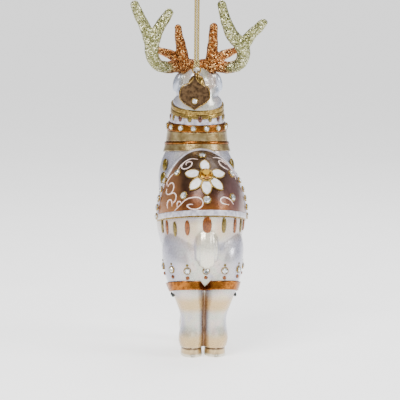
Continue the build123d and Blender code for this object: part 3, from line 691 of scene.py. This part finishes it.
def tube(bm, points, corners=14, closed=False, steps=1):
    """A round bar through points of X, Y, Z and radius."""
    rows = through(points, steps) if steps > 1 else points
    places = [Vector(point[:3]) for point in rows]
    rings = []
    across = None
    for i, point in enumerate(rows):
        before = places[i - 1] if i or closed else places[i]
        after = places[(i + 1) % len(places)] if i + 1 < len(places) or closed else places[i]
        heading = (after - before).normalized()
        if across is None:
            across = heading.orthogonal()
        across = (across - heading * across.dot(heading)).normalized()
        other = heading.cross(across)
        rings.append(ellipse(places[i], across * point[3], other * point[3], corners))
    lofted(bm, rings, closed)


def capped_tube(bm, points, corners=16, steps=5):
    tube(bm, points, corners, steps=steps)
    for x, y, z, radius in (points[0], points[-1]):
        ellipsoid(bm, (x, y, z), (radius, radius, radius))


def ring(bm, centre, axis, radius, wire, around=28, corners=8):
    first = axis.orthogonal().normalized()
    second = axis.cross(first)
    turns = [2 * pi * i / around for i in range(around)]
    points = [Vector(centre) + radius * (first * cos(turn) + second * sin(turn)) for turn in turns]
    tube(bm, [(*point, wire) for point in points], corners, closed=True)


def moulded(bm, voxel, rounds):
    """One continuous skin over shapes that run into each other."""
    mesh = bpy.data.meshes.new("form")
    bm.to_mesh(mesh)
    bm.free()
    form = link("form", mesh)
    remesh = form.modifiers.new("remesh", "REMESH")
    remesh.mode = "VOXEL"
    remesh.voxel_size = voxel
    smooth = form.modifiers.new("smooth", "SMOOTH")
    smooth.factor = 0.5
    smooth.iterations = rounds
    skin = bpy.data.meshes.new_from_object(form.evaluated_get(bpy.context.evaluated_depsgraph_get()))
    bpy.data.objects.remove(form)
    bpy.data.meshes.remove(mesh)
    return skin


def piece(name, shape, slot, body, *nodes, smooth=True):
    """A finished piece: moved into the frame, painted, riding on a body, standing for CAD nodes."""
    if isinstance(shape, bmesh.types.BMesh):
        mesh = bpy.data.meshes.new(name)
        shape.to_mesh(mesh)
        shape.free()
    else:
        mesh = shape
        mesh.name = name
    mesh.transform(TO_ROW)
    mesh.materials.clear()
    mesh.materials.append(PAINTS[slot])
    if smooth:
        mesh.shade_smooth()
    else:
        mesh.shade_flat()
    made = link(name, mesh)
    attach(made, body)
    if nodes:
        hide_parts(*nodes)
    return made


def cad_form(node):
    """A CAD node's own mesh, as the figure stands."""
    bm = bmesh.new()
    bm.from_mesh(frame["nodes"][node].data)
    bm.transform(TO_STANDING)
    bmesh.ops.remove_doubles(bm, verts=bm.verts, dist=0.0005)
    return bm


def softened(node, slot, voxel=0.25, rounds=4, body="ornament"):
    """A CAD node with the rounded edges of poured enamel or thick paint."""
    return piece(node + "_skin", moulded(cad_form(node), voxel, rounds), slot, body, node)


def reshape(mesh, move):
    """Moves every corner of a mesh by what move says of its place and outward direction."""
    places = [vertex.co.copy() for vertex in mesh.vertices]
    outwards = [normal.vector.copy() for normal in mesh.vertex_normals]
    for vertex, place, outward in zip(mesh.vertices, places, outwards):
        vertex.co = place + move(place, outward)


def near(value, middle, width):
    """1 at the middle, fading to 0 a few widths away."""
    return 2.718 ** -(((value - middle) / width) ** 2)


# ---------------------------------------------------------------- the glass figure
def figure_shapes():
    bm = bmesh.new()
    ellipsoid(bm, BARREL_CENTRE, BARREL)
    ellipsoid(bm, HAUNCH_CENTRE, HAUNCH)
    for side in SIDES:
        limb(bm, HIND_LEG, side)
        limb(bm, FRONT_LEG, side)
        x, y, z = EAR_CENTRE
        ellipsoid(bm, (side * x, y, z), EAR, (12, side * -14, 0))
        ellipsoid(bm, (side * 4.6, 25.5, 124.0), (4.0, 7.0, 5.0))
        ellipsoid(bm, (side * 5.6, 25.0, 131.6), (2.8, 4.0, 2.6))
    limb(bm, NECK)
    ellipsoid(bm, CRANIUM_CENTRE, CRANIUM)
    rings = [
        ellipse((x, y, z), Vector((half_width, 0, 0)), Vector((0, 0, -half_height)), 36)
        for x, y, z, half_width, half_height in through(MUZZLE, 5)
    ]
    lofted(bm, rings)
    x, y, z, half_width, half_height = MUZZLE[-1]
    ellipsoid(bm, (x, y, z), (half_width, NOSE_DEPTH, half_height))
    ellipsoid(bm, TAIL_CENTRE, TAIL, (-8, 0, 0))
    return bm


def carve(place, outward):
    """How far the glass is pressed in: ear cups, the head's foot, mouth, tail strands and leg creases."""
    x, y, z = place
    depth = 0.0
    side = abs(x)
    if z > 118 and side > 6.5 and outward.y > 0:
        cup = near(side, EAR_CENTRE[0] + 0.4, 1.5) * near(z, EAR_CENTRE[2] + 0.4, 3.6)
        depth += EAR_CUP * cup * outward.y
    if z > 117 and 0 < y < 25:
        depth += HEAD_NOTCH * near(z, 121.2, 1.4) * min(1.0, max(0.0, (side - 6.0) / 3.0))
    if y > 33 and z < 121:
        mouth = 117.7 - 0.10 * (43.0 - y)
        depth += MOUTH_CREASE * near(z, mouth, 0.4)
    if y < -33 and z < 66:
        depth += TAIL_STRAND * (1 + cos(x * 3.1)) * near(z, 50.0, 9.0)
    if z < 30:
        leg = HIND_LEG[1][0] if y < -5 else FRONT_LEG[1][0]
        back = outward.y < -0.5 if y < -5 else outward.y > 0.5
        depth += PASTERN_CREASE * near(side, leg, 1.0) * near(z, 7.0, 4.5) * back
    return depth


def glass_body():
    skin = moulded(figure_shapes(), SKIN_VOXEL, SKIN_ROUNDS)
    reshape(skin, lambda place, outward: -outward * carve(place, outward))
    piece("glass_figure", skin, "pearl_glass", "ornament", "glass_body")


def eyelids():
    """A lid round the upper side of each eye."""
    lids = bmesh.new()
    x, y, z = EYE_CENTRE
    for side in SIDES:
        points = []
        for turn in range(-20, 201, 20):
            angle = radians(turn)
            out = Vector((side * 0.75, 1.2 * cos(angle), 1.25 * sin(angle)))
            points.append((side * (x + 1.05), y + out.y * 1.1, z + out.z * 1.05, 0.3))
        tube(lids, points, 8)
    piece("eyelids", lids, "brown_drop", "ornament")


def hooves():
    """Hooves with a cleft down the front and back of each."""
    def cleft(place, outward):
        x, y, z = place
        leg = HIND_LEG[0][0] if y < 0 else FRONT_LEG[0][0]
        depth = HOOF_CLEFT * near(abs(x), leg, 0.7) * min(1.0, max(0.0, z / 1.5))
        return Vector((0, -outward.y * depth, 0))

    form = moulded(cad_form("hooves"), 0.3, 4)
    reshape(form, cleft)
    piece("hoof_shoes", form, "hoof_gold", "ornament", "hooves")


# ---------------------------------------------------------------- antlers
def antler(name, branches, side, node):
    bm = bmesh.new()
    for points in branches:
        capped_tube(bm, [(side * x, y, z, radius) for x, y, z, radius in points])
    form = moulded(bm, ANTLER_VOXEL, ANTLER_ROUNDS)
    dice = random.Random(7 + side)

    def grain(place, outward):
        lump = 0.3 * noise(place * 0.34) + 0.1 * noise(place * 0.9)
        return outward * (lump - 0.08 + dice.uniform(-GRAIN, GRAIN))

    reshape(form, grain)
    piece(name, form, "antler_glitter", "ornament", node, smooth=False)


# ---------------------------------------------------------------- stones
def loose_parts(bm):
    """Lists of faces that hang together."""
    left = set(bm.faces)
    parts = []
    while left:
        stack = [left.pop()]
        part = []
        while stack:
            face = stack.pop()
            part.append(face)
            for edge in face.edges:
                for other in edge.link_faces:
                    if other in left:
                        left.remove(other)
                        stack.append(other)
        parts.append(part)
    return parts


def stone_places(node):
    """Where each stone of a CAD node sits: the middle of its flat back, its axis and its radius."""
    bm = cad_form(node)
    places = []
    for part in loose_parts(bm):
        flats = {}
        for face in part:
            key = tuple(round(value, 2) for value in face.normal)
            flats.setdefault(key, []).append(face)
        back = max(flats.values(), key=lambda faces: sum(face.calc_area() for face in faces))
        area = sum(face.calc_area() for face in back)
        centre = sum((face.calc_center_median() * face.calc_area() for face in back), Vector()) / area
        axis = -back[0].normal.copy()
        reach = 0.0
        for face in part:
            for corner in face.verts:
                offset = corner.co - centre
                reach = max(reach, (offset - axis * offset.dot(axis)).length)
        places.append((centre, axis.normalized(), reach))
    bm.free()
    return sorted(places, key=lambda place: tuple(round(value, 3) for value in place[0]))


def brilliant(bm, glint_tone, centre, axis, radius, dice):
    """A cut stone: sixteen girdle corners, eight main facets and a flat table."""
    first = axis.orthogonal().normalized()
    second = axis.cross(first)
    levels = ((16, 0.90, 0.0, 0.0), (16, 1.0, 0.26, 0.0), (8, 0.84, 0.52, 0.5), (8, 0.54, 0.76, 0.0))
    rings = []
    for count, size, height, shift in levels:
        corners = []
        for i in range(count):
            turn = 2 * pi * (i + shift) / count
            spoke = first * cos(turn) + second * sin(turn)
            corners.append(bm.verts.new(centre + radius * (size * spoke + height * axis)))
        rings.append(corners)
    base, girdle, shoulder, table = rings
    faces = [bm.faces.new(list(reversed(base))), bm.faces.new(table)]
    for i in range(16):
        j = (i + 1) % 16
        faces.append(bm.faces.new((base[i], base[j], girdle[j], girdle[i])))
    for i in range(8):
        j = (i + 1) % 8
        faces.append(bm.faces.new((girdle[2 * i], girdle[2 * i + 1], shoulder[i])))
        faces.append(bm.faces.new((girdle[2 * i + 1], girdle[2 * j], shoulder[i])))
        faces.append(bm.faces.new((shoulder[i], girdle[2 * j], shoulder[j])))
        faces.append(bm.faces.new((shoulder[i], table[j], table[i])))
        faces.append(bm.faces.new((shoulder[i], shoulder[j], table[j])))
    # Each face gets a random painted brightness: painted glints and dark reflections of the cut.
    for face in faces:
        value = dice.choice((0.04, 0.2, 0.35, 0.5, 0.6, 0.7, 0.85, 0.98))
        for corner in face.loops:
            corner[glint_tone] = (value, value, value, 1.0)


def stones(name, node, slot="clear_crystal", body="ornament"):
    bm = bmesh.new()
    glint_tone = bm.loops.layers.float_color.new("facet_glint")
    dice = random.Random(len(name))
    for centre, axis, radius in stone_places(node):
        brilliant(bm, glint_tone, centre, axis, radius, dice)
    piece(name, bm, slot, body, node, smooth=False)


def settings(name, stone_node, node, body="ornament", prongs=6):
    """A rolled cup round each stone, with small claws over its edge."""
    bm = bmesh.new()
    for centre, axis, radius in stone_places(stone_node):
        ring(bm, centre + 0.02 * axis, axis, radius + 0.14, CUP_WIRE)
        ring(bm, centre + 0.30 * radius * axis, axis, radius + 0.16, RIM_WIRE)
        first = axis.orthogonal().normalized()
        second = axis.cross(first)
        for i in range(prongs):
            turn = 2 * pi * (i + 0.5) / prongs
            spoke = first * cos(turn) + second * sin(turn)
            place = centre + spoke * (radius + 0.02) + axis * 0.42 * radius
            bmesh.ops.create_icosphere(bm, subdivisions=2, radius=CLAW, matrix=Matrix.Translation(place))
    piece(name, bm, "gold_paint", body, node)


# ---------------------------------------------------------------- the blanket's scrolls
def on_barrel(x, rise, lift):
    """A point on the barrel at X and an angle up the croup, lifted off the glass."""
    cx, cy, cz = BARREL_CENTRE
    a, b, c = BARREL
    reach = sqrt(max(0.0, 1 - (x / a) ** 2))
    foot = Vector((x, -b * reach * cos(radians(rise)), c * reach * sin(radians(rise))))
    outward = Vector((foot.x / a**2, foot.y / b**2, foot.z / c**2)).normalized()
    return Vector((cx, cy, cz)) + foot + outward * lift


def curl(x, rise, across, up, start, sweep, end=1.0):
    """Points round (x, rise), from an angle through a sweep, drawing in to a share of the size."""
    points = []
    count = max(4, round(abs(sweep) / CURL_STEP))
    for i in range(count + 1):
        share = i / count
        turn = radians(start + sweep * share)
        size = 1 - (1 - end) * share**2
        points.append((x + across * size * cos(turn), rise + up * size * sin(turn)))
    return points


# Poured lines on the blanket, in X and rise: listed points, and curls.
SCROLLS = [
    [(-2.8, 65), (-5.5, 68.5)] + curl(-7.4, 62, 2.7, 6.2, 100, 440, 0.2),
    [(-8.5, 68), (-10.5, 65), (-11.8, 60.5)],
    [(4.5, 69), (7.5, 74), (10.5, 74), (13, 70), (14.5, 64), (15, 57)],
    curl(9.2, 65, 2.2, 5.2, 50, 240) + [(12, 61.5)],
    curl(-14.4, 57, 2.2, 5.2, 70, 125) + [(-16.6, 53.6)],
    curl(-15.5, 43.7, 1.6, 7.6, 120, -335),
    curl(-15.4, 29, 2.2, 7, 95, -165),
    [(-16.9, 18.2)] + curl(-16, 23.4, 0.95, 5.2, 180, -180) + [(-15.1, 19.4)],
    [(-14, 13.5), (-11.5, 19), (-9, 23.3)] + curl(-5.4, 18.8, 3.6, 5.4, 95, -255) + [(-7.6, 18.2), (-6.3, 17.8)],
    [(12.6, 19.6), (11, 23.6)] + curl(8.6, 21.5, 2.4, 3.3, 90, 150) + [(10.2, 18.1)],
    [(-12.9, 17)] + curl(-12.1, 20.3, 0.8, 2.4, 165, -155),
]


def scrolls():
    bm = bmesh.new()
    for points in SCROLLS:
        line = through(points, 4)
        last = len(line) - 1
        bar = []
        for i, (x, rise) in enumerate(line):
            taper = 0.45 + 0.55 * min(1.0, 6.0 * min(i, last - i) / last)
            bar.append((*on_barrel(x, rise, BLANKET + SCROLL_LIFT), SCROLL * taper))
        tube(bm, bar, 8)
        for x, y, z, radius in (bar[0], bar[-1]):
            bmesh.ops.create_icosphere(
                bm, subdivisions=2, radius=radius * 1.3, matrix=Matrix.Translation((x, y, z))
            )
    curls = piece("blanket_scrolls", bm, "lilac_enamel", "ornament")
    curls.data.materials[0] = enamel("rose_enamel", (0.90, 0.72, 0.66), (0.78, 0.56, 0.50))


# ---------------------------------------------------------------- hanger and tag
def cord():
    data = bpy.data.curves.new("gold_cord", "CURVE")
    data.dimensions = "3D"
    line = data.splines.new("NURBS")
    line.points.add(len(CORD_ROUTE) - 1)
    for point, place in zip(line.points, CORD_ROUTE):
        point.co = (*place, 1.0)
    line.order_u = 3
    line.use_endpoint_u = True
    data.resolution_u = 16
    data.bevel_depth = CORD / 2
    data.bevel_resolution = 4
    data.use_fill_caps = True
    data.materials.append(PAINTS["gold_cord"])
    made = link("hanging_cord", data)
    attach(made, "hanger")
    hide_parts("cord_loop")
    return made


def hitch():
    """A lark's head: two turns round the ring and a bar across the front of both strands."""
    bm = bmesh.new()
    x, y, z = HOOK.x, HOOK.y, RING_Z + RING
    for side in SIDES:
        axis = Vector((1, 0, 0.12 * side)).normalized()
        ring(bm, (x + side * 0.66, y, z), axis, HITCH_TURN, HITCH_YARN, 20, 10)
    bar = [(-1.15, 0.2, 0.0), (-0.9, -0.72, 0.42), (0.0, -0.92, 0.62), (0.9, -0.72, 0.42), (1.15, 0.2, 0.0)]
    tube(bm, [(x + dx, y + dy, z + dz, HITCH_BAR) for dx, dy, dz in bar], 12, steps=5)
    return piece("cord_knot", bm, "gold_cord", "hanger", "cord_hitch")


def tag_rim():
    """The bright raised edge of the tag, both sides of the worn plate."""
    low, high = (TO_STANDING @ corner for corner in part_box("hang_tag"))
    middle = (low.x + high.x) / 2
    half = (high.x - low.x) / 2
    foot = low.z
    waist = foot + 8.0
    outline = [(0.0, foot + 0.3), (0.3, foot + 1.7), (0.62, foot + 3.0), (0.93, waist - 2.6)]
    outline += [(0.955, waist), (0.86, waist + 2.6), (0.62, waist + 4.2), (0.34, waist + 5.0)]
    outline += [(0.14, waist + 6.6), (0.07, waist + 7.9)]
    bm = bmesh.new()
    for depth in (-TAG_FACE, TAG_FACE):
        right = [(middle + share * half, HOOK.y + depth, z, TAG_RIM) for share, z in outline]
        left = [(2 * middle - x, y, z, r) for x, y, z, r in reversed(right[1:])]
        tube(bm, left + right, 8, steps=3)
    piece("tag_rim", bm, "brass_wire", "tag")


# ---------------------------------------------------------------- build
PAINTS = all_paints()


def paint_cad():
    """Every CAD node that stays visible takes its slot's material."""
    for entry in frame["record"]["subparts"]:
        shown = frame["nodes"][entry["node"]]
        for material_slot in shown.material_slots:
            material_slot.material = PAINTS[entry["material_slot"]]


camera()
strands = cord()
knot = hitch()
studio()
paint_cad()
glass_body()
eyelids()
hooves()
left_branches = (BEAM, LEFT_OUTER, LEFT_INNER, UPRIGHT, BROW)
right_branches = (RIGHT_BEAM, RIGHT_OUTER, RIGHT_INNER, RIGHT_UPRIGHT, BROW)
antler("left_glitter_antler", left_branches, -1, "left_antler")
antler("right_glitter_antler", right_branches, 1, "right_antler")
for node, slot in (
    ("neck_base_band", "satin_champagne"),
    ("neck_copper_line", "copper_paint"),
    ("neck_satin_band", "satin_champagne"),
    ("collar_copper_band", "copper_paint"),
    ("collar_enamel_band", "lilac_enamel"),
    ("collar_lower_rim", "gold_paint"),
    ("collar_upper_rim", "gold_paint"),
    ("blanket_border", "lilac_enamel"),
    ("flower_petals", "white_enamel"),
    ("flower_casting", "gold_paint"),
    ("hind_garter", "copper_paint"),
    ("front_garter", "copper_paint"),
):
    softened(node, slot)
for prefix in ("collar", "blanket", "trim", "hem"):
    stones(prefix + "_brilliants", prefix + "_stones")
    settings(prefix + "_claws", prefix + "_stones", prefix + "_settings")
stones("flower_brilliant", "flower_amber", "amber_crystal")
stones("tag_brilliant", "tag_gem", body="tag")
settings("tag_claws", "tag_gem", "tag_setting", "tag")
scrolls()
tag_rim()
